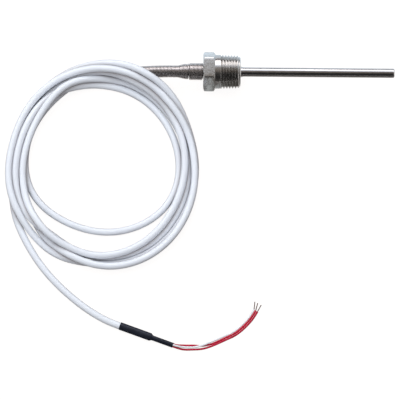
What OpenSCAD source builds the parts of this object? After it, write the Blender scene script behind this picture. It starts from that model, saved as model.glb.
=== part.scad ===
// Direct-lead resistance temperature probe: a stainless sheath welded into a
// tapered pipe-thread hex fitting, with a stepped close-wound spring as strain
// relief on a coiled three-core lead.
//
// The origin is on the probe's axis in the hex's thread-side face. +X points
// along the sheath to its tip and +Z points up from the flat that the hex
// rests on.

/* [Sheath] */
// Outer diameter of the sheath
sheath_d = 6; // [5:0.5:8]
// Wall of the sheath tube
sheath_wall = 0.5; // [0.3:0.05:0.7]
// Sheath length that stands out of the threaded end
probe_len = 96.5; // [80:0.5:150]
// Thickness of the welded tip outside the tube
tip_thick = 2; // [1.5:0.5:4]
// Rounding of the tip's edge
tip_round = 1; // [0.4:0.1:1.4]
// Length of the tip's spigot inside the tube
spigot_len = 3; // [2:0.5:5]
// Sheath length behind the hex, under the spring
tail_len = 19; // [17:0.5:24]
// Length of the weld fillet at the sheath's root
weld_len = 2.6; // [1:0.1:4]
// Height of the weld fillet on the end face
weld_height = 0.7; // [0.4:0.1:1.5]

/* [Fitting] */
// Width of the hex across its flats
hex_af = 22.5; // [22:0.5:30]
// Width of the hex along the axis
hex_width = 7.5; // [5:0.5:12]
// Plain neck and thread diameter at the hex
thread_d = 21.34; // [20:0.02:21.4]
// Length of the plain neck
neck_len = 2.8; // [1:0.1:4]
// Length of the tapered thread
thread_len = 13.1; // [10:0.1:20]
// Change of diameter per unit of thread length
thread_taper = 0.0625; // [0:0.0025:0.07]
// Depth of the thread form, which the end chamfer clears
thread_depth = 1.4; // [0.8:0.1:1.6]
// Diameter of the spigot that carries the spring
stub_d = 9; // [8.6:0.1:12]
// Length of the spring's spigot
stub_len = 9; // [6:0.5:12]
// Angle of the chamfers on the hex's corners
hex_chamfer = 30; // [20:1:40]

/* [Relief spring] */
// Diameter of the spring wire
wire_d = 0.8; // [0.6:0.05:0.9]
// Gap between neighbouring turns
turn_gap = 0.04; // [0.02:0.01:0.1]
// Turns on the spigot
large_turns = 10; // [6:1:14]
// Turns in the tapered step
step_turns = 7; // [4:1:12]
// Turns of the slim end
small_turns = 32; // [20:1:40]
// Extra gap at the turn where the step starts
open_gap = 0.35; // [0:0.05:0.6]
// Distance from the hex to the first turn
spring_setback = 0.7; // [0.2:0.1:1.5]
// Radius of the bend that the slim end sags in
sag_radius = 70; // [60:5:300]

/* [Sensor] */
// Diameter of the ceramic sensing element
element_d = 2.6; // [2:0.1:3.2]
// Length of the ceramic sensing element
element_len = 15; // [10:1:25]
// Gap between the element and the tip's spigot
element_gap = 1; // [0.5:0.5:3]
// Diameter of the element's two legs
leg_d = 0.4; // [0.2:0.05:0.5]
// Length of the leg to the single core's joint
leg_len = 8; // [6:1:12]
// Extra length of the leg to the paired cores' joint
leg_stagger = 8; // [7:1:12]
// Length of each soldered joint
joint_len = 4; // [2:0.5:5]
// Length of the ceramic filling behind the spigot
filling_len = 42; // [38:1:60]

/* [Lead] */
// Diameter of the lead's jacket
cable_d = 4.4; // [3.6:0.1:4.6]
// Diameter of an insulated core
core_d = 1.25; // [1:0.05:1.3]
// Diameter of a core's conductor
conductor_d = 0.6; // [0.4:0.05:0.8]
// Length of the jacket inside the sheath tube
jacket_in = 8; // [6:0.5:12]
// Length of the resin plug in front of the jacket
seal_len = 4; // [2:0.5:6]
// Bare conductor on each wire's end
bare_len = 5; // [3:0.5:8]

/* [Shrink sleeve] */
// Wall of the shrink sleeve
shrink_wall = 0.2; // [0.1:0.05:0.4]
// Sleeve length over the jacket
shrink_jacket_len = 20.5; // [10:0.5:40]
// Length of the sleeve's shoulder
shrink_step_len = 0.8; // [0.4:0.1:2]
// Sleeve length over the bare cores
shrink_core_len = 14; // [8:0.5:30]

/* [Hidden] */
$fn = 64;

slip = 0.05;                              // clearance of a piece that slides into another
sheath_bore = sheath_d - 2 * sheath_wall;
floor_z = -hex_af / 2;                    // the surface that the hex and the lead lie on
cable_z = floor_z + cable_d / 2;
wire_z = floor_z + core_d / 2;

// Stations along the probe's axis
thread_end = neck_len + thread_len;
tip_end = thread_end + probe_len;
tube_front = tip_end - tip_thick;
tube_rear = -hex_width - tail_len;
spigot_rear = tube_front - spigot_len;
element_front = spigot_rear - element_gap;
element_rear = element_front - element_len;
joint_single_front = element_rear - leg_len;
joint_paired_front = joint_single_front - leg_stagger;
jacket_front = tube_rear + jacket_in;
seal_front = jacket_front + seal_len;
filling_rear = spigot_rear - filling_len;

// The three cores lie in a triangle about the axis
core_ring = core_d / sqrt(3) + 0.12;
core_angles = [90, 210, 330];             // white, first red, second red
function core_at(i) = core_ring * [cos(core_angles[i]), sin(core_angles[i])];
pair_at = [0, core_at(1)[1]];             // where the paired cores meet their leg
pair_joint_d = 2 * (core_at(2)[0] - conductor_d / 2 + 2 * slip);

// ---------------------------------------------------------------- spring
spring_pitch = wire_d + turn_gap;
spring_start = -hex_width - spring_setback - wire_d / 2;
large_r = stub_d / 2 + 2 * slip + wire_d / 2;      // to the middle of the wire
small_r = sheath_d / 2 + 2 * slip + wire_d / 2;
spring_turns = large_turns + step_turns + small_turns;
spring_len = spring_turns * spring_pitch + open_gap;
slim_from = (large_turns + step_turns) * spring_pitch + open_gap;
straight_len = max(slim_from, spring_start - tube_rear);

// The centreline runs straight back over the tube, then sags on an arc
function bend_at(s) = max(0, s - straight_len) / sag_radius * 180 / PI;
function centre_at(s) =
    let (a = bend_at(s), flat = min(s, straight_len))
    [spring_start - flat - sag_radius * sin(a), 0, -sag_radius * (1 - cos(a))];
function along_at(s) = [-cos(bend_at(s)), 0, -sin(bend_at(s))];
function upward_at(s) = [-sin(bend_at(s)), 0, cos(bend_at(s))];

function turn_radius(t) =
    t < large_turns ? large_r :
    t > large_turns + step_turns ? small_r :
    large_r + (small_r - large_r) * (t - large_turns) / step_turns;
function turn_station(t) =
    t * spring_pitch + open_gap * min(1, max(0, t - large_turns + 0.5));

spring_facets = 16;                       // round one turn
spring_sides = 6;                         // round the wire
spring_steps = spring_turns * spring_facets;

function spring_ring(i) =
    let (
        t = i / spring_facets,
        s = turn_station(t),
        outward = [0, cos(360 * t), 0] + sin(360 * t) * upward_at(s),
        middle = centre_at(s) + turn_radius(t) * outward
    )
    [for (j = [0 : spring_sides - 1])
        let (a = 360 * j / spring_sides)
        middle + wire_d / 2 * (cos(a) * outward + sin(a) * along_at(s))];

// ------------------------------------------------------------- swept tubes
function unit(v) = v / norm(v);
function flatten(rings) = [for (ring = rings) for (p = ring) p];

// Faces of a closed tube over `count` rings of `sides` points
function tube_faces(count, sides) = concat(
    [for (i = [0 : count - 2]) for (j = [0 : sides - 1])
        [i * sides + j, i * sides + (j + 1) % sides, (i + 1) * sides + (j + 1) % sides]],
    [for (i = [0 : count - 2]) for (j = [0 : sides - 1])
        [i * sides + j, (i + 1) * sides + (j + 1) % sides, (i + 1) * sides + j]],
    [[for (j = [sides - 1 : -1 : 0]) j]],
    [[for (j = [0 : sides - 1]) (count - 1) * sides + j]]
);

function heading(route, i) = unit(
    i == 0 ? route[1] - route[0] :
    i == len(route) - 1 ? route[i] - route[i - 1] :
    unit(route[i + 1] - route[i]) + unit(route[i] - route[i - 1]));

function tube_ring(route, i, r, sides) =
    let (
        ahead = heading(route, i),
        side = unit(cross([0, 0, 1], ahead)),
        top = cross(ahead, side)
    )
    [for (j = [0 : sides - 1])
        let (a = 360 * (j + 0.5) / sides)
        route[i] + r * (cos(a) * side + sin(a) * top)];

module tube(route, d, sides) {
    rings = [for (i = [0 : len(route) - 1]) tube_ring(route, i, d / 2, sides)];
    polyhedron(flatten(rings), tube_faces(len(route), sides), convexity = 6);
}

// A strip in plan along a route, which the coil leaves free for a tube
function strip(route, half) = concat(
    [for (i = [0 : len(route) - 1]) side_point(route, i, half)],
    [for (i = [len(route) - 1 : -1 : 0]) side_point(route, i, -half)]
);
function side_point(route, i, offset_by) =
    let (ahead = heading(route, i), side = unit(cross([0, 0, 1], ahead)))
    [route[i][0] + offset_by * side[0], route[i][1] + offset_by * side[1]];

// ------------------------------------------------------------ lead's route
// Middle of the coil in plan, and the reach of its bundle of turns from there
// in every twelfth of a circle, counted from +X towards +Y
coil_centre = [-71, -59];
coil_outer = [61.5, 61.5, 67, 67.5, 64.5, 61, 60, 62, 65.5, 68.5, 68, 64.5];
coil_inner = [46, 46, 47.5, 49.5, 50, 47, 46, 51.5, 55.5, 57.5, 55.5, 50];
coil_layers = 2;
coil_height = coil_layers * cable_d;

// First turn where it lies free inside the bundle, in plan
inner_loop_plan = [
    [-118.5, -61], [-117.5, -68], [-114.5, -75.5], [-110, -82.5], [-104.5, -88.5],
    [-98, -93.5], [-91, -97], [-84, -99.5], [-77, -101], [-70, -101.5],
    [-62.5, -101], [-55, -99.5], [-48, -97], [-41, -93.5], [-34.5, -88.5], [-29.5, -82.5]
];
// From the bundle to the shrink sleeve, in plan
tail_plan = [
    [-128, -76], [-126, -85], [-123, -93.5], [-119.5, -103], [-115.5, -112],
    [-110, -121], [-103, -130], [-95, -138], [-86, -146], [-77, -153],
    [-68, -158.5]
];
sleeve_start = [-58, -162.5];
sleeve_turn = -20;                        // heading of the sleeve, from +X
// The three wires past the sleeve, as the middle of their flat run in plan
wire_plan = [
    [-18.5, -175.5], [-12, -175.5], [-6.5, -175], [-0.5, -173], [8, -169],
    [13, -166.5], [18, -162.5], [23, -157], [26.5, -151.5]
];
// Place of each wire across that run, in wire widths, and its lift where the
// white one comes down between the reds and crosses over the second
wire_lanes = [
    [0, 0, 0.5, 1, 1, 1, 1, 1, 1],
    [-1, -1, -1, -1, -1, -1, -1, -1, -1],
    [1, 1, 0.5, 0, 0, 0, 0, 0, 0]
];
wire_lift = [
    [0.8, 0.5, 1.15, 0.65, 0, 0, 0, 0, 0],
    [0, 0, 0, 0, 0, 0, 0, 0, 0],
    [0, 0, 0, 0, 0, 0, 0, 0, 0]
];
bare_turns = [84, 62, 76];                // heading of each bare end, from +X

function at_height(plan, z) = [for (p = plan) [p[0], p[1], z]];
sleeve_ahead = [cos(sleeve_turn), sin(sleeve_turn), 0];
sleeve_side = [-sin(sleeve_turn), cos(sleeve_turn), 0];
sleeve_z = floor_z + cable_d / 2 + slip + shrink_wall;
sleeve_from = [sleeve_start[0], sleeve_start[1], sleeve_z];
jacket_end = sleeve_from + shrink_jacket_len * sleeve_ahead;
sleeve_end = jacket_end + (shrink_step_len + shrink_core_len) * sleeve_ahead;

lead_in_steps = 8;
lead_in_clear = 0.5;                      // lead between the spring's end and the bundle
lead_in_len = spring_start - jacket_front;     // negative: the jacket starts ahead of the bend
lead_in_route = [for (i = [0 : lead_in_steps])
    centre_at(lead_in_len + (spring_len + lead_in_clear - lead_in_len) * i / lead_in_steps)];
inner_loop_route = at_height(inner_loop_plan, cable_z);
tail_route = concat(at_height(tail_plan, cable_z), [sleeve_from, jacket_end]);

// Each wire leaves the jacket in the triangle, then lies down beside the others
wire_spread = core_d + slip;
wire_middle = at_height(wire_plan, wire_z);
function in_bundle(at, i) =
    at + core_at(i)[0] * sleeve_side + [0, 0, core_at(i)[1]];
function in_lane(i, j) =
    wire_middle[j] + wire_lanes[i][j] * wire_spread * unit(cross([0, 0, 1], heading(wire_middle, j)))
    + [0, 0, wire_lift[i][j] * core_d];
function wire_route(i) = concat(
    [in_bundle(jacket_end, i), in_bundle(sleeve_end, i)],
    [for (j = [0 : len(wire_plan) - 1]) in_lane(i, j)]
);
wire_heading = heading(wire_middle, len(wire_plan) - 1);
wire_turn = atan2(wire_heading[1], wire_heading[0]);

// ------------------------------------------------------------ small helpers
module along_x(from) {
    translate([from, 0, 0]) rotate([0, 90, 0]) children();
}

// A rod along +X from one station to another, off the axis by [y, z]
module rod(from, to, d, at = [0, 0]) {
    translate([from, at[0], at[1]]) rotate([0, 90, 0]) cylinder(h = to - from, d = d);
}

// ------------------------------------------------------------------ probe
module hex_blank() {
    chamfer_r = hex_af / 2 * 0.985;       // the chamfers run just inside the flats
    rise = hex_af / sqrt(3) - chamfer_r;
    set_in = rise * tan(hex_chamfer);
    intersection() {
        along_x(-hex_width) rotate([0, 0, 30])
            cylinder(h = hex_width, d = hex_af * 2 / sqrt(3), $fn = 6);
        along_x(-hex_width) rotate_extrude() polygon([
            [0, 0], [chamfer_r, 0], [chamfer_r + rise, set_in],
            [chamfer_r + rise, hex_width - set_in], [chamfer_r, hex_width], [0, hex_width]
        ]);
    }
}

module threaded_end() {
    end_r = thread_d / 2 - thread_taper / 2 * thread_len;
    along_x(0) rotate_extrude() polygon([
        [0, -1], [thread_d / 2 - 1, -1], [thread_d / 2, 0], [thread_d / 2, neck_len],
        [end_r, thread_end - thread_depth], [end_r - thread_depth, thread_end], [0, thread_end]
    ]);
}

module hex_fitting() {
    color("#a9a8a6") difference() {
        union() {
            hex_blank();
            threaded_end();
            rod(-hex_width - stub_len, -hex_width + 1, stub_d);
        }
        rod(-hex_width - stub_len - 1, thread_end + 1, sheath_d + 2 * slip);
    }
}

// The tube with the weld fillet that joins it to the fitting's end face
module sheath_tube() {
    r = sheath_d / 2;
    steps = 6;
    fillet = [for (i = [0 : steps])
        let (a = 90 * i / steps)
        [r + weld_height * (1 - sin(a)), thread_end + weld_len * (1 - cos(a))]];
    color("#b9b7b6") along_x(0) rotate_extrude() polygon(concat(
        [[sheath_bore / 2, tube_rear], [r, tube_rear], [r, thread_end]], fillet,
        [[r, tube_front], [sheath_bore / 2, tube_front]]
    ));
}

module tip_plug() {
    r = sheath_d / 2;
    arc = [for (a = [0 : 15 : 90])
        [r - tip_round + tip_round * cos(a), tip_thick - tip_round + tip_round * sin(a)]];
    color("#b9b7b6") along_x(tube_front) rotate_extrude() polygon(concat(
        [[0, -spigot_len], [sheath_bore / 2, -spigot_len], [sheath_bore / 2, 0], [r, 0]],
        arc, [[0, tip_thick]]
    ));
}

module relief_spring() {
    rings = [for (i = [0 : spring_steps]) spring_ring(i)];
    color("#8f8c8a")
        polyhedron(flatten(rings), tube_faces(spring_steps + 1, spring_sides), convexity = 10);
}

// ----------------------------------------------------------------- sensor
module element_body() {
    color("#efe9dc") rod(element_rear, element_front, element_d);
}

module element_leg_single() {
    color("#c9c9cc") rod(joint_single_front, element_rear, leg_d, core_at(0));
}

module element_leg_paired() {
    color("#c9c9cc") rod(joint_paired_front, element_rear, leg_d, pair_at);
}

module joint_single() {
    color("#8d9093") rod(joint_single_front - joint_len, joint_single_front, conductor_d + 0.2, core_at(0));
}

module joint_paired() {
    color("#8d9093") {
        rod(joint_paired_front - joint_len, joint_paired_front, pair_joint_d, pair_at);
        for (i = [1, 2])
            rod(joint_paired_front - joint_len, joint_paired_front - joint_len / 4, conductor_d, core_at(i));
    }
}

module core(i, front) {
    rod(jacket_front, front, core_d, core_at(i));
}

module core_white() {
    color("#f2f2f2") core(0, joint_single_front - joint_len);
}

module core_red_1() {
    color("#d2203c") core(1, joint_paired_front - joint_len);
}

module core_red_2() {
    color("#d2203c") core(2, joint_paired_front - joint_len);
}

module tip_filling() {
    color("#ddd8cc") difference() {
        rod(filling_rear, spigot_rear, sheath_bore);
        element_body();
        element_leg_single();
        element_leg_paired();
        joint_single();
        joint_paired();
        core(0, joint_single_front - joint_len);
        for (i = [1, 2]) core(i, joint_paired_front - joint_len);
    }
}

module cable_seal() {
    color("#3a3a3c") difference() {
        rod(jacket_front, seal_front, sheath_bore);
        for (i = [0 : 2]) rod(jacket_front - 1, seal_front + 1, core_d, core_at(i));
    }
}

// ------------------------------------------------------------------- lead
module cable_lead_in() {
    color("#eef0f4") tube(lead_in_route, cable_d, 8);
}

module cable_inner_loop() {
    color("#eef0f4") tube(inner_loop_route, cable_d, 8);
}

module cable_tail() {
    color("#eef0f4") tube(tail_route, cable_d, 8);
}

// Smooth closed outline through one reach for every twelfth of a circle
function blend_reach(reach, a) =
    let (
        n = len(reach), k = floor(a / 30), t = a / 30 - k,
        p0 = reach[(k + n - 1) % n], p1 = reach[k % n],
        p2 = reach[(k + 1) % n], p3 = reach[(k + 2) % n]
    )
    p1 + t * (p2 - p0) / 2 + t * t * (p0 - 2.5 * p1 + 2 * p2 - p3 / 2)
    + t * t * t * (1.5 * (p1 - p2) + (p3 - p0) / 2);
function coil_outline(reach) = [for (a = [0 : 6 : 354])
    coil_centre + blend_reach(reach, a) * [cos(a), sin(a)]];

module coil_plan() {
    lane = cable_d / 2 + 2 * slip;
    difference() {
        polygon(coil_outline(coil_outer));
        polygon(coil_outline(coil_inner));
        polygon(strip(inner_loop_route, lane));
        polygon(strip(at_height(tail_plan, 0), lane));
    }
}

// The outer turns climb over the spring and down again
hump_middle = [-43, -4];                  // where they cross the spring
hump_turn = 140;                          // their heading there, from +X
hump_top = large_r + wire_d / 2 - 1.5 + cable_d;
hump_flat = 9;                            // half of the level stretch on top
hump_run = 34;                            // half of the whole hump

module coil_hump() {
    low = floor_z + coil_height;
    translate([hump_middle[0], hump_middle[1], 0]) rotate([0, 0, hump_turn]) rotate([90, 0, 0])
        translate([0, 0, -60]) linear_extrude(120) polygon([
            [-hump_run, low - 1], [-hump_run, low], [-hump_flat, hump_top],
            [hump_flat, hump_top], [hump_run, low], [hump_run, low - 1]
        ]);
}

module hump_plan() {
    difference() {
        polygon(coil_outline(coil_outer));
        polygon([for (p = coil_outline(coil_outer)) coil_centre + (p - coil_centre) * 0.79]);
    }
}

module spring_channel() {
    clear = 0.3;
    wide = small_r + wire_d / 2 + clear;
    end = spring_len + lead_in_clear;
    rear = centre_at(end)[0] - cable_d / 2 * sin(bend_at(end));
    translate([rear, -wide, floor_z - 1]) cube([-hex_width - rear, 2 * wide, wide - floor_z + 1]);
}

module cable_coil() {
    color("#eef0f4") difference() {
        union() {
            translate([0, 0, floor_z]) linear_extrude(coil_height) coil_plan();
            intersection() {
                coil_hump();
                translate([0, 0, floor_z + coil_height - 1])
                    linear_extrude(hump_top - floor_z - coil_height + 2) hump_plan();
            }
        }
        spring_channel();
    }
}

module shrink_sleeve() {
    jacket_r = cable_d / 2 + slip;
    core_r = core_ring + core_d / 2 + slip;
    step_end = shrink_jacket_len + shrink_step_len;
    color("#17181a") translate(sleeve_from) rotate([0, 0, sleeve_turn]) rotate([0, 90, 0])
        rotate_extrude() polygon([
            [jacket_r, 0], [jacket_r + shrink_wall, 0],
            [jacket_r + shrink_wall, shrink_jacket_len],
            [core_r + shrink_wall, step_end],
            [core_r + shrink_wall, step_end + shrink_core_len],
            [core_r, step_end + shrink_core_len],
            [core_r, shrink_jacket_len + shrink_wall], [core_r, shrink_jacket_len],
            [jacket_r, shrink_jacket_len]
        ]);
}

module wire(i) {
    tube(wire_route(i), core_d, 8);
}

module wire_white() {
    color("#f2f2f2") wire(0);
}

module wire_red_1() {
    color("#d2203c") wire(1);
}

module wire_red_2() {
    color("#d2203c") wire(2);
}

module bare_end(i) {
    clear = conductor_d / 2 * abs(sin(bare_turns[i] - wire_turn));
    translate(in_lane(i, len(wire_plan) - 1) + clear * wire_heading)
        rotate([0, 0, bare_turns[i]]) rotate([0, 90, 0]) cylinder(h = bare_len, d = conductor_d);
}

module bare_end_white() {
    color("#b98a6a") bare_end(0);
}

module bare_end_red_1() {
    color("#b98a6a") bare_end(1);
}

module bare_end_red_2() {
    color("#b98a6a") bare_end(2);
}

hex_fitting();
sheath_tube();
tip_plug();
relief_spring();
element_body();
element_leg_single();
element_leg_paired();
joint_single();
joint_paired();
tip_filling();
core_white();
core_red_1();
core_red_2();
cable_seal();
cable_lead_in();
cable_coil();
cable_inner_loop();
cable_tail();
shrink_sleeve();
wire_white();
wire_red_1();
wire_red_2();
bare_end_white();
bare_end_red_1();
bare_end_red_2();
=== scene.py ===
# A resistance temperature probe with its coiled lead on a pale table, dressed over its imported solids
import math

import bpy
import numpy as np
from mathutils import Matrix, Vector


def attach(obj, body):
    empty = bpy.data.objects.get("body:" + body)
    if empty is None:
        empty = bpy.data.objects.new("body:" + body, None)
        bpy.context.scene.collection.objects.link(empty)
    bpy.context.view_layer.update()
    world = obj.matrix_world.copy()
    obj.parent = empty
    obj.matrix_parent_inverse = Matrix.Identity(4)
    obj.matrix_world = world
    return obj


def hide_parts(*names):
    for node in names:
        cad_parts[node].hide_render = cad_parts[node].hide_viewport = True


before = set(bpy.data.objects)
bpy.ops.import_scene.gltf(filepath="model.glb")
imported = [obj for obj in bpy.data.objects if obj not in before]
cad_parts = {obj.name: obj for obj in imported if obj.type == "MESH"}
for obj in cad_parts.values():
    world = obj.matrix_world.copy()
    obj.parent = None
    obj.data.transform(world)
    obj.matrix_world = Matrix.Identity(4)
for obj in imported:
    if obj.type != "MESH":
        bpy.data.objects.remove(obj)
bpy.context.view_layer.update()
up = np.array([0.0, 0.0, 1.0])
tiny = 1e-6  # metres, keeps a division by a distance safe
print("frame loaded:", len(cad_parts), "solids")


def intoScene(name, data):
    thing = bpy.data.objects.new(name, data)
    bpy.context.scene.collection.objects.link(thing)
    return thing


# The camera stands high on the lead's side with a long lens, so that the rows of turns read from above
cameraPlan = {"elevation": 75.0, "roll": 0.5, "lens": 900.0, "sensor": 36.0, "clip": (0.01, 20),
              "frameWidth": 0.25, "target": (-0.0088, -0.0808, -0.009)}


def makeCamera(plan):
    # Right, top and back from the elevation and the roll, and far enough off for the frame's width
    elevation, roll = math.radians(plan["elevation"]), math.radians(plan["roll"])
    level = Vector((1, 0, 0))
    rise = Vector((0, math.sin(elevation), math.cos(elevation)))
    right = level * math.cos(roll) + rise * math.sin(roll)
    top = rise * math.cos(roll) - level * math.sin(roll)
    back = right.cross(top)
    data = bpy.data.cameras.new("tableCamera")
    data.lens, data.sensor_width = plan["lens"], plan["sensor"]
    data.clip_start, data.clip_end = plan["clip"]
    distance = plan["frameWidth"] * plan["lens"] / plan["sensor"]
    rows = [(right[k], top[k], back[k], plan["target"][k] + back[k] * distance) for k in range(3)]
    camera = intoScene("tableCamera", data)
    camera.matrix_world = Matrix((*rows, (0, 0, 0, 1)))
    bpy.context.scene.camera = camera


makeCamera(cameraPlan)


# Paths and surfaces, all worked out as whole arrays
def unitRows(v):
    return v / np.linalg.norm(v, axis=-1, keepdims=True)


def throughPoints(points, perSpan):
    # Cubic through each pair of points whose slope at a point is half the step between its neighbours
    p = np.asarray(points, float)
    p = np.vstack([2 * p[0] - p[1], p, 2 * p[-1] - p[-2]])
    a, b, c, d = p[:-3, None], p[1:-2, None], p[2:-1, None], p[3:, None]
    t = (np.arange(perSpan) / perSpan)[None, :, None]
    line = (b + t * (c - a) / 2 + t**2 * (a - 2.5 * b + 2 * c - d / 2)
            + t**3 * (1.5 * (b - c) + (d - a) / 2))
    return np.vstack([line.reshape(-1, p.shape[1]), p[-2]])


def runLength(path):
    return np.concatenate([[0.0], np.cumsum(np.linalg.norm(np.diff(path, axis=0), axis=1))])


def evenSteps(path, step):
    # The same line with its points an equal run apart
    run = runLength(path)
    stations = np.linspace(0, run[-1], max(2, int(round(run[-1] / step)) + 1))
    return np.stack([np.interp(stations, run, path[:, k]) for k in range(3)], axis=1)


def softened(path, width):
    # Mean over a bell-shaped window of points, with both ends held by mirroring
    reach = int(3 * width)
    bell = np.exp(-0.5 * (np.arange(-reach, reach + 1) / width) ** 2)
    bell /= bell.sum()
    head = 2 * path[0] - path[reach:0:-1]
    tail = 2 * path[-1] - path[-2:-reach - 2:-1]
    long = np.vstack([head, path, tail])
    return np.stack([np.convolve(long[:, k], bell, "valid") for k in range(path.shape[1])], axis=1)


def roundTurn(sides):
    # Equal angles once round, in radians
    return 2 * math.pi * np.arange(sides) / sides


def tubeGrid(path, radius, sides):
    # Circle of the given radius carried along the path: centre + radius (side cos a + top sin a)
    ahead = unitRows(np.gradient(path, axis=0))
    side = unitRows(np.cross(up, ahead))
    top, turn = np.cross(ahead, side), roundTurn(sides)[None, :, None]
    rim = side[:, None] * np.cos(turn) + top[:, None] * np.sin(turn)
    reach = np.broadcast_to(np.asarray(radius, float), (len(path), sides))
    return path[:, None] + reach[..., None] * rim


def latheGrid(x, r, turn):
    # Profile (x, r) carried round the X axis: (x, r cos a, r sin a)
    return np.stack(np.broadcast_arrays(x, r * np.cos(turn), r * np.sin(turn)), axis=-1)


def meshPiece(name, points, faces, uv=None, crease=40, parts=None):
    # Faces may mix quads and triangles; uv holds one pair for each corner in face order
    mesh = bpy.data.meshes.new(name)
    mesh.from_pydata(points.reshape(-1, 3).tolist(), [], [f for block in faces for f in block.tolist()])
    if uv is not None:
        layer = mesh.uv_layers.new(name="run")
        layer.data.foreach_set("uv", np.asarray(uv, np.float32).ravel())
    if parts is not None:
        mesh.polygons.foreach_set("material_index", parts.astype(np.int32))
    mesh.shade_smooth()
    mesh.set_sharp_from_angle(angle=math.radians(crease))
    mesh.update()
    piece = intoScene(name, mesh)
    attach(piece, "root")
    return piece


def gridQuads(rings, sides, closedAlong=False, closedRound=True):
    # Quads between the neighbours of a grid, with the ring and the place round it that each starts from
    spans = rings if closedAlong else rings - 1, sides if closedRound else sides - 1
    ring, j = (a.ravel() for a in np.meshgrid(np.arange(spans[0]), np.arange(spans[1]), indexing="ij"))
    here, there, nxt = ring * sides, (ring + 1) % rings * sides, (j + 1) % sides
    return np.stack([here + j, here + nxt, there + nxt, there + j], 1), ring, j


def tubePiece(name, grid, crease=40):
    # Closed tube from a grid of rings, with a fan on each end; u is the run in metres, v goes once round
    rings, sides = grid.shape[:2]
    quads, ring, j = gridQuads(rings, sides)
    middle = grid.mean(axis=1)
    run, rim = runLength(middle), np.arange(sides)
    rimNext, last, hub = (rim + 1) % sides, (rings - 1) * sides, rings * sides
    startFan = np.stack([rimNext, rim, np.full(sides, hub)], 1)
    endFan = np.stack([last + rim, last + rimNext, np.full(sides, hub + 1)], 1)
    points = np.vstack([grid.reshape(-1, 3), middle[:1], middle[-1:]])
    quadUv = np.stack([run[ring], j / sides, run[ring], (j + 1) / sides,
                       run[ring + 1], (j + 1) / sides, run[ring + 1], j / sides], 1)
    start, end = np.zeros(sides), np.full(sides, run[-1])
    near, far, half = rim / sides, (rim + 1) / sides, (rim + 0.5) / sides
    startUv = np.stack([start, far, start, near, start, half], 1)
    endUv = np.stack([end, near, end, far, end, half], 1)
    uv = np.concatenate([quadUv.ravel(), startUv.ravel(), endUv.ravel()])
    return meshPiece(name, points, [quads, startFan, endFan], uv, crease)


def shellPiece(name, grid, crease):
    # Closed both along and round, as a turned piece with a bore is
    quads = gridQuads(*grid.shape[:2], closedAlong=True)[0]
    return meshPiece(name, grid, [quads], None, crease)


def roundedProfile(x, r, bevel):
    # Each inner corner of the profile becomes three points on a small curve, which takes up less than
    # half of a short side; x and r are (stations, columns)
    p = np.stack(np.broadcast_arrays(x, r), axis=-1)
    shortShare, never = 0.45, 1e-12
    before = np.roll(p, 1, axis=0) - p
    after = np.roll(p, -1, axis=0) - p
    longBefore = np.linalg.norm(before, axis=-1, keepdims=True) + never
    longAfter = np.linalg.norm(after, axis=-1, keepdims=True) + never
    a = p + before / longBefore * np.minimum(bevel, shortShare * longBefore)
    b = p + after / longAfter * np.minimum(bevel, shortShare * longAfter)
    made = np.stack([a, (a + 2 * p + b) / 4, b], axis=1).reshape(-1, p.shape[1], 2)
    made = np.concatenate([p[:1], made[3:-3], p[-1:]])
    return made[..., 0], made[..., 1]


# The lead goes straight back through the spring, lies in five turns and ends in a tail, all one jacket
lead = {"diameter": 0.0044, "floor": -0.01125, "jacketFront": -0.0185, "tubeRear": -0.0265,
        "springStart": -0.0086, "straight": 0.0179, "sag": 0.07, "springLength": 0.04151,
        "coilMiddle": (-0.0702, -0.0587), "declared": 2.06, "sides": 22,
        "cores": 3, "coreLay": 0.048, "coreTrace": 0.004}  # the cores show in a trace of the radius
# Reach from the coil's middle and height over the table, in metres, at every 30 degrees from
# the first angle on: the way down from the spring, then each turn from 180 degrees
wayDown = {"from": 90, "reach": [0.058, 0.0528, 0.0497], "height": [0.0003, 0, 0]}
turns = [
    {"reach": [0.0492, 0.0468, 0.0427, 0.0436, 0.0454, 0.0485, 0.0481, 0.048, 0.0497, 0.0523, 0.0542, 0.0537],
     "height": [0, 0, 0, 0, 0, 0, 0, 0, 0, 0.0022, 0.0047, 0.0045]},
    {"reach": [0.053, 0.0578, 0.0575, 0.06, 0.059, 0.0555, 0.054, 0.0528, 0.054, 0.056, 0.054, 0.0495],
     "height": [0.0044, 0.0036, 0.0028, 0.0004, 0, 0, 0, 0.0003, 0.0008, 0.0039, 0.0081, 0.0048]},
    {"reach": [0.0492, 0.0545, 0.0585, 0.06, 0.0575, 0.0535, 0.0525, 0.0535, 0.056, 0.0595, 0.0575, 0.0538],
     "height": [0.0044, 0.0045, 0.0055, 0.0043, 0.0041, 0.0041, 0.0042, 0.0052, 0.009, 0.0078, 0.0034,
                0.0002]},
    {"reach": [0.053, 0.0552, 0.06, 0.0658, 0.0656, 0.0614, 0.058, 0.057, 0.059, 0.0605, 0.061, 0.0582],
     "height": [0, 0, 0.0028, 0.0044, 0.0044, 0.0044, 0.0044, 0.0075, 0.0125, 0.0118, 0.0072, 0.0045]},
    {"reach": [0.0574, 0.0603, 0.0605, 0.0645, 0.0643, 0.0605, 0.0582, 0.0585, 0.0625, 0.064, 0.0615, 0.0582],
     "height": [0.0044, 0.0032, 0.0006, 0, 0, 0, 0.0004, 0.006, 0.0138, 0.0102, 0.0033, 0.0002]},
]
coilEnd = {"reach": [0.0573], "height": [0]}
tailPlan = [(-0.128, -0.076), (-0.126, -0.085), (-0.123, -0.0935), (-0.1195, -0.103), (-0.1155, -0.112),
            (-0.11, -0.121), (-0.103, -0.13), (-0.095, -0.138), (-0.086, -0.146), (-0.077, -0.153),
            (-0.068, -0.1585)]
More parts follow.
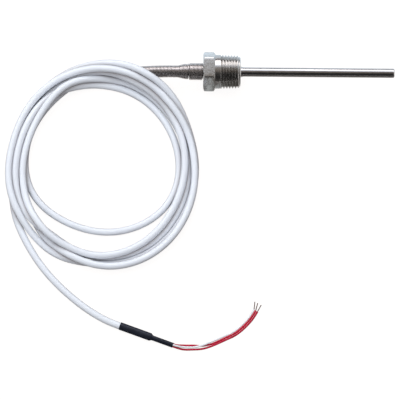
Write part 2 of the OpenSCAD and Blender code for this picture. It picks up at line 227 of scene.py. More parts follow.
# How the points are laid before they settle; pull is half of how far the first tail point is drawn in
laying = {"knotAngle": 30.0, "perKnot": 12, "coilEvery": 4, "mouthPast": 0.004, "mouthPoints": 5,
          "pull": (0.00093, 0.00032), "pulled": 5, "intoSleeve": 0.01, "perSpan": 8, "step": 0.0016,
          "smooth": 4, "lastSmooth": 1.5, "lastStep": 0.0013}
# How the turns settle: the stretches held at both ends, what counts as near, and each round's moves
settling = {"springReach": 0.0039, "springPoints": 60, "startHeld": 0.036, "startEase": 0.015,
            "endHeld": 0.03, "endEase": 0.02, "clearOfSpring": 0.12, "sameTurn": 0.02, "near": 0.009,
            "rounds": 400, "drawnRounds": 340, "drawBack": (0.03, 0.03, 0.012),
            "lateDrawBack": (0.002, 0.002, 0.001), "bendWidth": 3, "bendEase": 0.6, "drop": 0.00002,
            "pushShare": 0.5, "crowd": 1.6}
sleeve = {"start": (-0.058, -0.1625), "turn": -20.0, "slip": 0.00005, "wall": 0.0002,
          "onJacket": 0.0205, "shoulder": 0.0008, "onCores": 0.014, "sides": 60,
          "cornerPower": 26, "drawEase": 0.0004, "rim": 0.0001, "jacketRings": 12, "firstRing": 0.001,
          "coreRings": 9, "afterStep": (0.0006, 0.0015),
          "wrinkle": 0.012, "wrinkles": 5, "wrinkleTwist": 900, "wrinkleReach": 0.0012, "crease": 50}
leadRadius = lead["diameter"] / 2
leadLow = lead["floor"] + leadRadius
sleeveAhead = np.array([math.cos(math.radians(sleeve["turn"])), math.sin(math.radians(sleeve["turn"])), 0])
sleeveSide = np.cross(up, sleeveAhead)
sleeveFrom = np.array([*sleeve["start"], leadLow + sleeve["slip"] + sleeve["wall"]])
jacketEnd = sleeveFrom + sleeve["onJacket"] * sleeveAhead


def springLine(station):
    # Straight back over the tube, then down on a circle: x = start - flat - R sin b, z = -R (1 - cos b)
    bend = np.maximum(0, station - lead["straight"]) / lead["sag"]
    flat = np.minimum(station, lead["straight"])
    x = lead["springStart"] - flat - lead["sag"] * np.sin(bend)
    return np.stack([x, 0 * x, -lead["sag"] * (1 - np.cos(bend))], axis=-1)


def coilLine():
    # Reach and height as smooth functions of the angle, turned into points round the coil's middle
    parts = [wayDown, *turns, coilEnd]
    knots = np.array([[r, h] for part in parts for r, h in zip(part["reach"], part["height"])])
    reach, height = throughPoints(knots, laying["perKnot"]).T
    angle = np.radians(wayDown["from"] + laying["knotAngle"] / laying["perKnot"] * np.arange(len(reach)))
    return np.stack([lead["coilMiddle"][0] + reach * np.cos(angle),
                     lead["coilMiddle"][1] + reach * np.sin(angle),
                     leadLow + np.maximum(0, height)], axis=1)


def settleLead(path, plan):
    # Neighbouring turns push each other a diameter apart, the spring and table hold them up, and
    # each point is drawn back to where it was laid
    held = springLine(np.linspace(0, lead["springLength"], plan["springPoints"]))
    holdReach = plan["springReach"] + leadRadius
    line, laid, count = path.copy(), path.copy(), len(path)
    rows = np.arange(count)
    run = rows * laying["step"]
    fromStart = np.clip((run - plan["startHeld"]) / plan["startEase"], 0, 1)
    fromEnd = np.clip((run[-1] - run - plan["endHeld"]) / plan["endEase"], 0, 1)
    free = (fromStart * fromEnd)[:, None]
    offSpring = run > plan["clearOfSpring"]
    first, second = np.triu_indices(count, k=int(plan["sameTurn"] / laying["step"]))
    near = np.linalg.norm(line[first] - line[second], axis=1) < plan["near"]
    first, second = first[near], second[near]
    for turn in range(plan["rounds"]):
        drawBack = plan["drawBack"] if turn < plan["drawnRounds"] else plan["lateDrawBack"]
        bent = line - softened(line, plan["bendWidth"])
        line -= (bent - softened(bent, plan["bendWidth"])) * plan["bendEase"] * free
        line += (laid - line) * drawBack * free
        line[:, 2] -= plan["drop"] * free[:, 0]
        apart = line[first] - line[second]
        distance = np.linalg.norm(apart, axis=1)
        lack = np.maximum(0, lead["diameter"] - distance)
        push = lack / np.maximum(distance, tiny) * plan["pushShare"]
        shift, hits = np.zeros_like(line), np.zeros(count)
        for ends, sign in ((first, 1), (second, -1)):
            np.add.at(shift, ends, sign * apart * push[:, None])
            np.add.at(hits, ends, push > 0)
        line += shift / np.maximum(1, hits / plan["crowd"])[:, None] * free
        fromSpring = line[:, None] - held[None]
        far = np.linalg.norm(fromSpring, axis=2)
        closest = far.argmin(axis=1)
        lack = np.maximum(0, holdReach - far[rows, closest]) * offSpring
        line += fromSpring[rows, closest] * (lack / np.maximum(far[rows, closest], tiny))[:, None]
        line[:, 2] = np.maximum(line[:, 2], leadLow)
    return line


def leadRoute(plan):
    # The spring's mouth, the coil and the tail on one line, which settles and is softened. The tail's
    # first points are drawn in by pull (1 + cos(pi i / n)), so that it leans on the turns
    mouthRun = (lead["springStart"] - lead["jacketFront"], lead["springLength"] + plan["mouthPast"])
    mouth = springLine(np.linspace(*mouthRun, plan["mouthPoints"]))
    ease = 1 + np.cos(math.pi * np.minimum(np.arange(len(tailPlan)) / plan["pulled"], 1))
    tail = np.array([[x, y, leadLow] for x, y in tailPlan])
    tail[:, :2] += ease[:, None] * np.array(plan["pull"])
    ends = np.vstack([tail, sleeveFrom, sleeveFrom + plan["intoSleeve"] * sleeveAhead, jacketEnd])
    laid = np.vstack([mouth, coilLine()[::plan["coilEvery"]], ends])
    line = evenSteps(throughPoints(laid, plan["perSpan"]), plan["step"])
    smooth = softened(line, plan["smooth"])
    line = smooth + softened(line - smooth, plan["smooth"])
    return evenSteps(softened(settleLead(line, settling), plan["lastSmooth"]), plan["lastStep"])


route = leadRoute(laying)
print("lead settled: %.3f m in %d points" % (runLength(route)[-1], len(route)))

# How far the painted shade of a neighbouring turn reaches over the jacket, more where that turn lies on top,
# and its weights
tuck = {"reach": 0.002, "moreAbove": 0.0022, "above": 0.004, "beside": 0.55, "onTop": 0.45,
        "sameTurn": 0.02, "lineStep": 0.0006, "ringsAtOnce": 100}  # in blocks, to spare memory


def turnShadeShare(grid, path, plan):
    # Share of painted shade from nearness to the other turns: (1 - gap / reach)^2 times a weight, the largest
    # over the lead's line
    line, sides, share = evenSteps(path, plan["lineStep"]), grid.shape[1], []
    lineRun, ringRun = runLength(line), runLength(path)
    for first in range(0, len(grid), plan["ringsAtOnce"]):
        rows = slice(first, first + plan["ringsAtOnce"])
        block = grid[rows].reshape(-1, 3)
        square = (block**2).sum(1)[:, None] + (line**2).sum(1)[None] - 2 * block @ line.T
        alongRun = np.abs(np.repeat(ringRun[rows], sides)[:, None] - lineRun[None])
        square[alongRun < plan["sameTurn"]] = 1  # a metre off, so that a turn doesn't shade itself
        rise = line[None, :, 2] - np.repeat(path[rows, 2], sides)[:, None]
        above = np.clip(rise / plan["above"], 0, 1)
        gap = np.sqrt(np.maximum(0, square)) - leadRadius
        near = np.clip(1 - gap / (plan["reach"] + plan["moreAbove"] * above), 0, 1)
        share.append((near * near * (plan["beside"] + plan["onTop"] * above)).max(axis=1))
    return np.concatenate(share)


def cableJacket(plan, path):
    # Round jacket with a trace of the cores twisted inside it: radius (1 + trace cos(n (a - 2 pi s / lay)))
    run, turn = runLength(path)[:, None], roundTurn(plan["sides"])[None]
    twisted = turn - 2 * math.pi * run / plan["coreLay"]
    radius = plan["diameter"] / 2 * (1 + plan["coreTrace"] * np.cos(plan["cores"] * twisted))
    grid = tubeGrid(path, radius, plan["sides"])
    piece = tubePiece("lead_jacket", grid)
    share = np.append(turnShadeShare(grid, path, tuck), [0, 0])  # the two fans' hubs get no painted shade
    # Each point of the jacket carries its share of painted shade
    turnShade = piece.data.attributes.new("turnShade", "FLOAT", "POINT")
    turnShade.data.foreach_set("value", share.astype(np.float32))
    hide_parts("cable_lead_in", "cable_coil", "cable_inner_loop", "cable_tail")
    return piece


leadJacket = cableJacket(lead, route)

# The three wires past the sleeve, each with its bare strands. Lanes are counted across in wires,
# lift in wires over the table, and corner is where the core lies in the sleeve's bundle
wirePlan = [(-0.0185, -0.1755), (-0.012, -0.1755), (-0.0065, -0.175), (-0.0005, -0.173), (0.008, -0.169),
            (0.013, -0.1665), (0.018, -0.1625), (0.023, -0.157), (0.0265, -0.1515)]
wires = {
    "white": {"corner": 90, "lanes": [0, 0, 0.5, 1, 1, 1, 1, 1, 1],
              "lift": [0.8, 0.5, 1.15, 0.65, 0, 0, 0, 0, 0], "bareTurn": 84.0},
    "red_1": {"corner": 210, "lanes": [-1] * 9, "lift": [0] * 9, "bareTurn": 62.0},
    "red_2": {"corner": 330, "lanes": [1, 1, 0.5, 0, 0, 0, 0, 0, 0], "lift": [0] * 9, "bareTurn": 76.0},
}
core = {"diameter": 0.00125, "length": 0.074, "apart": 0.00012, "sides": 14, "perSpan": 10, "step": 0.0007,
        "conductor": 0.0006, "bare": 0.005, "strands": 7, "strandLay": 0.006, "strandRings": 26,
        "strandSides": 7}
coreRing = core["diameter"] / math.sqrt(3) + core["apart"]
wireSpread = core["diameter"] + sleeve["slip"]


def wireMiddle():
    # The points of the middle lane, the direction at each as the mean of its two steps, and the side
    flat = np.array([[x, y, lead["floor"] + core["diameter"] / 2] for x, y in wirePlan])
    steps = unitRows(np.diff(flat, axis=0))
    ahead = unitRows(np.vstack([steps[:1], steps[1:] + steps[:-1], steps[-1:]]))
    return flat, ahead, np.cross(up, ahead)


def wireRoute(plan):
    # From the triangle that the cores lie in, down into lanes on the table
    corner = math.radians(plan["corner"])
    inBundle = coreRing * (math.cos(corner) * sleeveSide + math.sin(corner) * up)
    sleeveEnd = jacketEnd + (sleeve["shoulder"] + sleeve["onCores"]) * sleeveAhead
    flat, ahead, side = wireMiddle()
    lanes = flat + (np.array(plan["lanes"]) * wireSpread)[:, None] * side
    lanes = lanes + (np.array(plan["lift"]) * core["diameter"])[:, None] * up
    points = np.vstack([jacketEnd + inBundle, sleeveEnd + inBundle, lanes])
    return evenSteps(throughPoints(points, core["perSpan"]), core["step"]), ahead[-1]


def strandsPiece(name, start, bareTurn, ahead):
    # One straight strand and six wound round it on a helix. They start past the insulation's end by
    # what the angle between the two directions takes up
    heading = math.radians(bareTurn)
    axis = np.array([math.cos(heading), math.sin(heading), 0])
    side = np.cross(up, axis)
    strand, count, sides = core["conductor"] / 6, core["strandRings"], core["strandSides"]
    slant = abs(math.sin(heading - math.atan2(ahead[1], ahead[0])))
    start = start + core["conductor"] / 2 * slant * ahead
    run, rim = np.linspace(0, core["bare"], count), roundTurn(sides)[None, :, None]
    blocks, faces = [], []
    for k in range(core["strands"]):
        ring = 0 if k == 0 else 2 * strand
        turn = (2 * math.pi * (run / core["strandLay"] + k / 6))[:, None]
        middle = start + run[:, None] * axis + ring * (np.cos(turn) * side + np.sin(turn) * up)
        grid = middle[:, None] + strand * (np.cos(rim) * side + np.sin(rim) * up)
        base = k * count * sides
        faces.append(base + gridQuads(count, sides)[0])
        faces.append(base + np.arange(sides)[None, ::-1])
        faces.append(base + (count - 1) * sides + np.arange(sides)[None])
        blocks.append(grid.reshape(-1, 3))
    piece = meshPiece(name, np.vstack(blocks), faces)
    return piece


for wireName, wire in wires.items():
    wireLine, wireAhead = wireRoute(wire)
    wirePiece = tubePiece("wire_" + wireName + "_insulation",
                          tubeGrid(wireLine, core["diameter"] / 2, core["sides"]))
    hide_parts("wire_" + wireName)
    wire["piece"], wire["line"] = wirePiece, wireLine
    wire["strands"] = strandsPiece("strands_" + wireName, wireLine[-1], wire["bareTurn"], wireAhead)
    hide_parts("bare_end_" + wireName)
    print("wire %s: %.4f m" % (wireName, runLength(wireLine)[-1]))


def shrinkSleeve(plan):
    # Round over the jacket, then drawn in over the three cores: the corners of the section are the cores,
    # p(a) = h(a) n + h'(a) t with h the reach of the furthest core in each direction
    turn = 2 * math.pi * (np.arange(plan["sides"]) + 0.5) / plan["sides"]
    corners = np.radians([wire["corner"] for wire in wires.values()])
    share = np.exp(plan["cornerPower"] * np.cos(turn[:, None] - corners[None]))
    share /= share.sum(axis=1, keepdims=True)
    outward = np.stack([np.cos(turn), np.sin(turn)], 1)
    coreReach = core["diameter"] / 2 + plan["slip"]
    lobes = np.stack([coreReach * np.cos(turn) + coreRing * share @ np.cos(corners),
                      coreReach * np.sin(turn) + coreRing * share @ np.sin(corners)], 1)
    circle, wall = (leadRadius + plan["slip"]) * outward, plan["wall"] * outward
    onJacket, halfStep = plan["onJacket"], plan["onJacket"] + plan["shoulder"] / 2
    stepEnd = onJacket + plan["shoulder"]
    full = stepEnd + plan["onCores"]
    overJacket = np.linspace(plan["firstRing"], onJacket - plan["drawEase"], plan["jacketRings"])
    overCores = np.linspace(stepEnd + plan["afterStep"][1], full - plan["rim"], plan["coreRings"])
    outer = np.array([0, plan["rim"], *overJacket, onJacket, halfStep, stepEnd,
                      stepEnd + plan["afterStep"][0], *overCores, full])
    drawIn = (outer - onJacket + plan["drawEase"]) / (plan["shoulder"] + 2 * plan["drawEase"])
    drawIn = np.clip(drawIn, 0, 1)
    drawIn = (drawIn**2 * (3 - 2 * drawIn))[:, None, None]
    fade = np.exp(-((outer - stepEnd) / plan["wrinkleReach"]) ** 2)[:, None]
    wave = np.sin(plan["wrinkles"] * turn[None] + plan["wrinkleTwist"] * outer[:, None])
    wrinkled = (1 + plan["wrinkle"] * wave * fade)[..., None]
    section = (circle + wall) * (1 - drawIn) + (lobes + wall) * drawIn * wrinkled
    inner = outer[::-1]
    bore = circle * (1 - drawIn[::-1]) + lobes * drawIn[::-1]
    bore[np.isclose(inner, halfStep)] = lobes
    station = np.concatenate([outer, inner])
    across = np.concatenate([section, bore])
    grid = (sleeveFrom + station[:, None, None] * sleeveAhead + across[..., :1] * sleeveSide
            + across[..., 1:] * up)
    piece = shellPiece("shrink_sleeve_skin", grid, plan["crease"])
    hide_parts("shrink_sleeve")
    return piece


sleevePiece = shrinkSleeve(sleeve)

print("lead, sleeve and wires made")

# The fitting: hex bar turned down to a taper-threaded end and a spigot for the spring. The thread's
# root, flanks and run-out are in pitches, and hexEdge is higher for a sharper corner
fitting = {"acrossFlats": 0.0225, "hexWidth": 0.0075, "threadDiameter": 0.02134, "neck": 0.0028,
           "threadLength": 0.0131, "taper": 0.0625, "pitch": 0.001814, "threadHeight": 0.00105,
           "rootAt": 0.51, "rootWidth": 0.12, "bothFlanks": 0.64, "flankEase": 0.2, "runOut": 0.75,
           "endChamfer": 0.0014, "stubDiameter": 0.009, "stubLength": 0.009, "stubChamfer": 0.0005,
           "bore": 0.0061, "chamferAngle": 30.0, "chamferFrom": 0.985, "edge": 0.00014, "hexEdge": 34,
           "barFrom": 0.99, "crease": 32}
threadEnd = fitting["neck"] + fitting["threadLength"]
endReach = (fitting["threadDiameter"] / 2 - fitting["taper"] / 2 * fitting["threadLength"]
            - fitting["endChamfer"])


def fittingTurns():
    # Angles round the axis, closer together beside the hex's corners
    beside = np.array([0.4, 0.8, 1.4, 2.2, 3.4, 5])
    sector = np.array([0, *beside, *np.linspace(7.5, 52.5, 19), *(60 - beside[::-1])])
    return np.radians((sector[None] + 60 * np.arange(6)[:, None]).ravel())


def hexReach(turn):
    # Distance to a hexagon with softened corners: half width / (sum of the flats' cosines^p)^(1/p)
    flats = np.radians(30 + 60 * np.arange(6))
    facing = np.maximum(0, np.cos(turn[:, None] - flats[None]))
    power = fitting["hexEdge"]
    return fitting["acrossFlats"] / 2 / (facing**power).sum(axis=1) ** (1 / power)


def threadSurface(turn):
    # Rows wind forward one pitch a turn: x = s + pitch a / 2 pi, held between the neck and the end;
    # height over the root is a flat crest, two straight flanks and a flat root in each pitch
    pitch, start, ease = fitting["pitch"], fitting["neck"], fitting["flankEase"]
    phases = np.array([0, 0.05, 0.1, 0.18, 0.28, 0.38, 0.46, 0.51, 0.56, 0.64, 0.74, 0.84, 0.92, 0.97])
    count = int(math.ceil(fitting["threadLength"] / pitch)) + 2
    s = start - pitch + pitch * (np.arange(count)[:, None] + phases[None]).ravel()
    s = np.append(s, s[-1] + pitch)
    around = np.append(turn, 2 * math.pi)
    x = np.clip(s[:, None] + pitch * around[None] / (2 * math.pi), start, threadEnd)
    phase = ((x - start) / pitch - around[None] / (2 * math.pi)) % 1
    away = 2 * np.abs(phase - fitting["rootAt"])
    tooth = np.clip((away - fitting["rootWidth"]) / fitting["bothFlanks"], 0, 1)
    tooth = tooth * (1 - ease) + ease * tooth**2 * (3 - 2 * tooth)
    crest = fitting["threadDiameter"] / 2 - fitting["taper"] / 2 * (x - start)
    runOut = np.clip((x - start) / (fitting["runOut"] * pitch), 0, 1)
    r = crest - fitting["threadHeight"] * (1 - tooth) * runOut
    return latheGrid(x, np.minimum(r, endReach + (threadEnd - x)), around)


def fittingBody(turn):
    # From the thread's end face back through the bore, out over the spigot and the hex to the neck,
    # as pairs of a place along the axis and a reach from it
    hexR = hexReach(turn)
    width, bore, stub = fitting["hexWidth"], fitting["bore"] / 2, fitting["stubDiameter"] / 2
    chamferR = fitting["acrossFlats"] / 2 * fitting["chamferFrom"]
    setIn = (hexR - chamferR) * math.tan(math.radians(fitting["chamferAngle"]))
    rear, neckR, cut = -width - fitting["stubLength"], fitting["threadDiameter"] / 2, fitting["stubChamfer"]
    profile = [(threadEnd, endReach), (threadEnd, bore), (rear, bore), (rear, stub - cut), (rear + cut, stub),
               (-width, stub), (-width, chamferR), (-width + setIn, hexR), (-setIn, hexR),
               (0, chamferR), (0, neckR), (fitting["neck"], neckR)]
    x, r = (np.array([pair[k] + 0 * turn for pair in profile]) for k in range(2))
    return latheGrid(*roundedProfile(x, r, fitting["edge"]), turn)


def welded(points, faces):
    # Points that coincide become one, and triangles that shrink to nothing are dropped
    perMetre = 2e7
    kept, place = np.unique(np.round(points * perMetre).astype(np.int64), axis=0, return_inverse=True)
    place = place.ravel()
    first = np.zeros(len(kept), int)
    first[place[::-1]] = np.arange(len(points))[::-1]
    faces = place[faces]
    whole = (faces[:, 0] != faces[:, 1]) & (faces[:, 1] != faces[:, 2]) & (faces[:, 2] != faces[:, 0])
    return points[first], faces[whole]


def gridTriangles(grid, base, closedRound):
    # Two triangles for each quad of a grid, whose points are counted on from the base
    quads = gridQuads(*grid.shape[:2], closedRound=closedRound)[0]
    return base + np.vstack([quads[:, [0, 1, 2]], quads[:, [0, 2, 3]]])


def fittingPiece():
    # Body and thread as one closed skin, with the bar's own finish where it stands out past the turning
    turn = fittingTurns()
    body, thread = fittingBody(turn), threadSurface(turn)
    faces = np.vstack([gridTriangles(body, 0, True), gridTriangles(thread, body.size // 3, False)])
    points, faces = welded(np.vstack([body.reshape(-1, 3), thread.reshape(-1, 3)]), faces)
    middle = points[faces].mean(axis=1)
    outside = np.hypot(middle[:, 1], middle[:, 2]) > fitting["acrossFlats"] / 2 * fitting["barFrom"]
    piece = meshPiece("threaded_hex_fitting", points, [faces], None, fitting["crease"], outside.astype(int))
    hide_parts("hex_fitting")
    return piece


fittingSkin = fittingPiece()
print("fitting made:", len(fittingSkin.data.polygons), "faces")

# Relief spring: close-wound wire, ten turns on the spigot, a tapered step and a slim end
spring = {"wire": 0.0008, "gap": 0.00003, "front": 0.0006, "large": 10, "shelf": 3, "step": 5, "small": 32,
          "shelfDrop": 0.0005, "openGap": 0.0004, "clearance": 0.0001, "tubeRadius": 0.003,
          "facets": 40, "sides": 10, "crease": 50}
springPitch = spring["wire"] + spring["gap"]
springLargeR = fitting["stubDiameter"] / 2 + spring["clearance"] + spring["wire"] / 2
springSmallR = spring["tubeRadius"] + spring["clearance"] + spring["wire"] / 2


def springPiece():
    # Helix about the bent line: centre(s) + R(t) (y cos 2 pi t + up(s) sin 2 pi t), s the run along the line
    stepFrom = spring["large"] + spring["shelf"]
    turnsAll = stepFrom + spring["step"] + spring["small"]
    t = np.arange(turnsAll * spring["facets"] + 1) / spring["facets"]
    offLarge = np.clip(t - spring["large"] + 0.5, 0, 1)  # 0 to 1 over the turn where the large ones end
    s = t * springPitch - spring["front"] + spring["openGap"] * offLarge
    shelfR = springLargeR - spring["shelfDrop"]
    r = springLargeR - spring["shelfDrop"] * offLarge
    r = r + (springSmallR - shelfR) * np.clip((t - stepFrom) / spring["step"], 0, 1)
    bend = np.maximum(0, s - lead["straight"]) / lead["sag"]
    above = np.stack([-np.sin(bend), 0 * s, np.cos(bend)], 1)
    along = np.stack([-np.cos(bend), 0 * s, -np.sin(bend)], 1)
    turned = 2 * math.pi * t[:, None]
    outward = np.cos(turned) * np.array([0, 1, 0]) + np.sin(turned) * above
    rim = roundTurn(spring["sides"])[None, :, None]
    middle = springLine(s) + r[:, None] * outward
    ring = np.cos(rim) * outward[:, None] + np.sin(rim) * along[:, None]
    piece = tubePiece("relief_spring_wire", middle[:, None] + spring["wire"] / 2 * ring, spring["crease"])
    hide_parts("relief_spring")
    return piece


springSkin = springPiece()
print("spring made:", len(springSkin.data.polygons), "faces")

# Sheath tube with its weld bead, and the welded tip; crown and pole are the rings of the tip's face
sheath = {"diameter": 0.006, "bore": 0.005, "length": 0.0965, "inside": 0.0002, "rings": 40, "sides": 120,
          "weldLength": 0.0026, "weldHeight": 0.0007, "weldRings": 12, "beads": 22, "ripple": 0.00007,
          "rippleAt": 0.0007, "rippleReach": 0.0007, "rippleLean": 260, "rippleShare": 0.4, "crease": 50}
tip = {"length": 0.002, "round": 0.001, "roundRings": 14, "spigot": 0.003, "seam": (0.00012, 0.00004),
       "crown": 0.001, "pole": 0.00002}
tipEnd = threadEnd + sheath["length"]
tubeFront = tipEnd - tip["length"]


def sheathPiece():
    # Turned tube with a weld fillet, x = end + length (1 - cos a), r = R + height (1 - sin a), which
    # carries overlapping ripples round the joint
    r, bore, weld = sheath["diameter"] / 2, sheath["bore"] / 2, sheath["weldLength"]
    turn = roundTurn(sheath["sides"])
    a = np.linspace(0, math.pi / 2, sheath["weldRings"])
    long = np.linspace(threadEnd + weld, tubeFront, sheath["rings"])[1:]
    x = np.concatenate([[lead["tubeRear"], lead["tubeRear"], threadEnd - sheath["inside"]],
                        threadEnd + weld * (1 - np.cos(a)), long, [tubeFront]])[:, None]
    reach = np.concatenate([[bore, r, r], r + sheath["weldHeight"] * (1 - np.sin(a)), 0 * long + r, [bore]])
    reach = reach[:, None]
    bead = np.exp(-((x - threadEnd - sheath["rippleAt"]) / sheath["rippleReach"]) ** 2)
    lean = turn[None] + sheath["rippleLean"] * (x - threadEnd)
    wave = np.abs(np.sin(sheath["beads"] / 2 * lean)) - sheath["rippleShare"]
    reach = reach + np.where(reach > r, sheath["ripple"] * bead * wave, 0)
    piece = shellPiece("sheath_tube_skin", latheGrid(x, reach, turn), sheath["crease"])
    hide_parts("sheath_tube")
    return piece


def tipPiece():
    # Spigot, a fine seam, a rounded edge, x = end - q + q sin a and r = R - q + q cos a, and a flat face
    r, bore, q, pole = sheath["diameter"] / 2, sheath["bore"] / 2, tip["round"], tip["pole"]
    a = np.linspace(0, math.pi / 2, tip["roundRings"])
    inside, (seamLength, seamDepth) = tubeFront - tip["spigot"], tip["seam"]
    x = np.concatenate([[inside, inside, tubeFront, tubeFront, tubeFront + seamLength],
                        tipEnd - q + q * np.sin(a), [tipEnd, tipEnd]])
    reach = np.concatenate([[pole, bore, bore, r - seamDepth, r], r - q + q * np.cos(a),
                            [tip["crown"], pole]])
    grid = latheGrid(x[:, None], reach[:, None], roundTurn(sheath["sides"]))
    piece = tubePiece("sheath_tip", grid, sheath["crease"])
    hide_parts("tip_plug")
    return piece


sheathSkin, tipSkin = sheathPiece(), tipPiece()
print("sheath and tip made")


# Shared effects, as node groups that put out only what changes over the surface
def addNode(tree, kind, values=None, feeds=None, **settings):
    # Values go on the node's own sockets, and feeds are the outputs that lead into them
    node = tree.nodes.new(kind)
    for key, value in settings.items():
        setattr(node, key, value)
    for key, value in (values or {}).items():
        node.inputs[key].default_value = value
    for key, source in (feeds or {}).items():
        tree.links.new(source, node.inputs[key])
    return node


def newGroup(name, inputs, outputs):
    # A number makes a value input that starts at it, and None makes a colour input
    group = bpy.data.node_groups.new(name, "ShaderNodeTree")
    for label, value in inputs.items():
        kind = "NodeSocketColor" if value is None else "NodeSocketFloat"
        socket = group.interface.new_socket(label, in_out="INPUT", socket_type=kind)
        if value is not None:
            socket.default_value = value
    for label in outputs:
        kind = "NodeSocketColor" if label == "Colour" else "NodeSocketFloat"
        group.interface.new_socket(label, in_out="OUTPUT", socket_type=kind)
    return group, addNode(group, "NodeGroupInput").outputs


def roughFrom(group, given, noise):
    # The middle of a noise, stretched from the group's Low to its High
    spread = addNode(group, "ShaderNodeMapRange", {"From Min": 0.3, "From Max": 0.7},
                     {"Value": noise, "To Min": given["Low"], "To Max": given["High"]})
    return spread.outputs["Result"]


def ringMarksGroup():
    # Fine tool lines round the X axis: noise of the axial place and the distance from the axis alone,
    # whose roughness also varies with a wider noise
    group, given = newGroup("ringMarks", {"Lines": 9000.0, "Low": 0.2, "High": 0.4}, ["Height", "Roughness"])
    place = addNode(group, "ShaderNodeTexCoord").outputs["Object"]
    split = addNode(group, "ShaderNodeSeparateXYZ", feeds={0: place}).outputs
    square = addNode(group, "ShaderNodeCombineXYZ", {"X": 0.0}, {"Y": split["Y"], "Z": split["Z"]})
    reach = addNode(group, "ShaderNodeVectorMath", feeds={0: square.outputs[0]}, operation="LENGTH")
    total = addNode(group, "ShaderNodeMath", feeds={0: split["X"], 1: reach.outputs["Value"]},
                    operation="ADD")
    scaled = addNode(group, "ShaderNodeMath", feeds={0: total.outputs[0], 1: given["Lines"]},
                     operation="MULTIPLY")
    lines = addNode(group, "ShaderNodeTexNoise", {"Scale": 1.0, "Detail": 3.0, "Roughness": 0.6},
                    {"W": scaled.outputs[0]}, noise_dimensions="1D").outputs[0]
    wide = addNode(group, "ShaderNodeTexNoise", {"Scale": 260.0, "Detail": 2.0}, {"Vector": place})
    both = addNode(group, "ShaderNodeMix", {"Factor": 0.45}, {"A": lines, "B": wide.outputs[0]},
                   data_type="FLOAT")
    rough = roughFrom(group, given, both.outputs[0])
    addNode(group, "NodeGroupOutput", feeds={"Height": lines, "Roughness": rough})
    return group


def driftGroup():
    # Two soft noises: the wide one carries one colour into another, with matching roughness, and the
    # fine one is the height of the grain
    group, given = newGroup("surfaceDrift", {"Scale": 100.0, "First": None, "Second": None, "Low": 0.3,
                                             "High": 0.4, "Grain": 14.0}, ["Colour", "Roughness", "Height"])
    place = addNode(group, "ShaderNodeTexCoord").outputs["Object"]
    wide = addNode(group, "ShaderNodeTexNoise", {"Detail": 4.0, "Roughness": 0.55, "Distortion": 0.3},
                   {"Vector": place, "Scale": given["Scale"]}).outputs[0]
    share = addNode(group, "ShaderNodeMapRange", {"From Min": 0.32, "From Max": 0.68}, {"Value": wide})
    mix = addNode(group, "ShaderNodeMix", None, {"Factor": share.outputs["Result"], "A": given["First"],
                                                 "B": given["Second"]}, data_type="RGBA")
    fineScale = addNode(group, "ShaderNodeMath", feeds={0: given["Scale"], 1: given["Grain"]},
                        operation="MULTIPLY")
    fine = addNode(group, "ShaderNodeTexNoise", {"Detail": 3.0, "Roughness": 0.6},
                   {"Vector": place, "Scale": fineScale.outputs[0]})
    rough = roughFrom(group, given, wide)
    addNode(group, "NodeGroupOutput",
            feeds={"Colour": mix.outputs["Result"], "Roughness": rough, "Height": fine.outputs[0]})
    return group


ringMarks, surfaceDrift = ringMarksGroup(), driftGroup()

